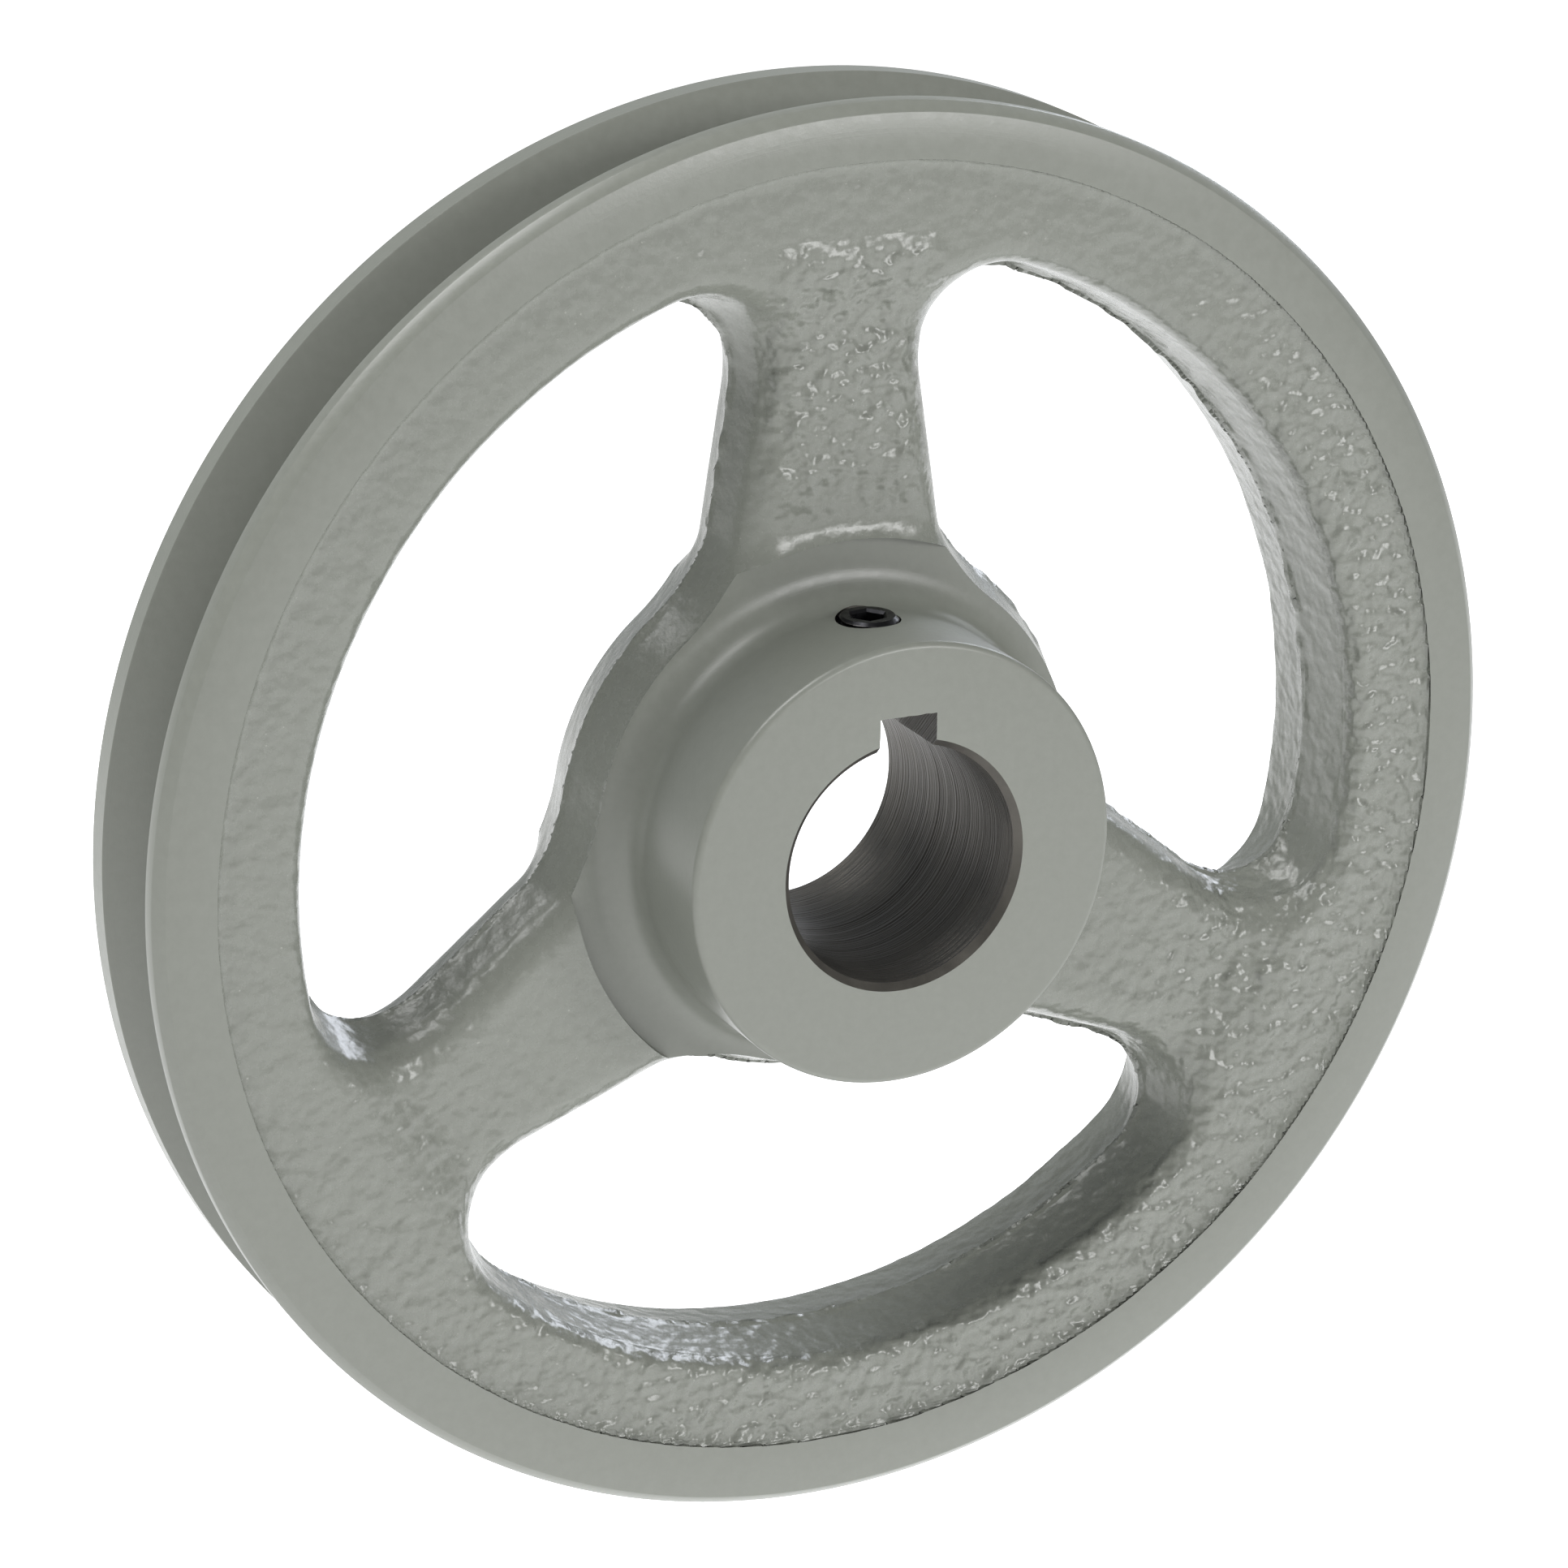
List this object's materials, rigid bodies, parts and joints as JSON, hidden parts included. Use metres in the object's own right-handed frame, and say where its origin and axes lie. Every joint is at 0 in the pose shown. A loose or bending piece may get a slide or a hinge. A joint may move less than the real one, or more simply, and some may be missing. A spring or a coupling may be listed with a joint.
{
  "type": "v belt pulley",
  "caption": "Single-groove cast-iron V-belt pulley with three arms, a keyed bore and a set screw in its hub.",
  "frame": {"origin": "on the shaft axis, in the middle plane of the rim", "axes": "+Y along the shaft, from the long turned end of the hub to its short end; +Z towards the keyway, the set screw and one arm"},
  "size_m": [0.1512, 0.0304, 0.1512],
  "materials": {
    "grey_paint": "satin paint over cast iron",
    "bare_iron": "freshly bored",
    "black_oxide_steel": "black oxide"
  },
  "bodies": {
    "pulley": {"pulley_casting": "grey_paint"},
    "screw": {"set_screw": "black_oxide_steel"}
  },
  "joints": [
    {"name": "set_screw_travel", "type": "slide", "parent": "pulley", "child": "screw", "axis": [0, 0, 1], "range_m": [-0.00315, 0.00508]}
  ]
}
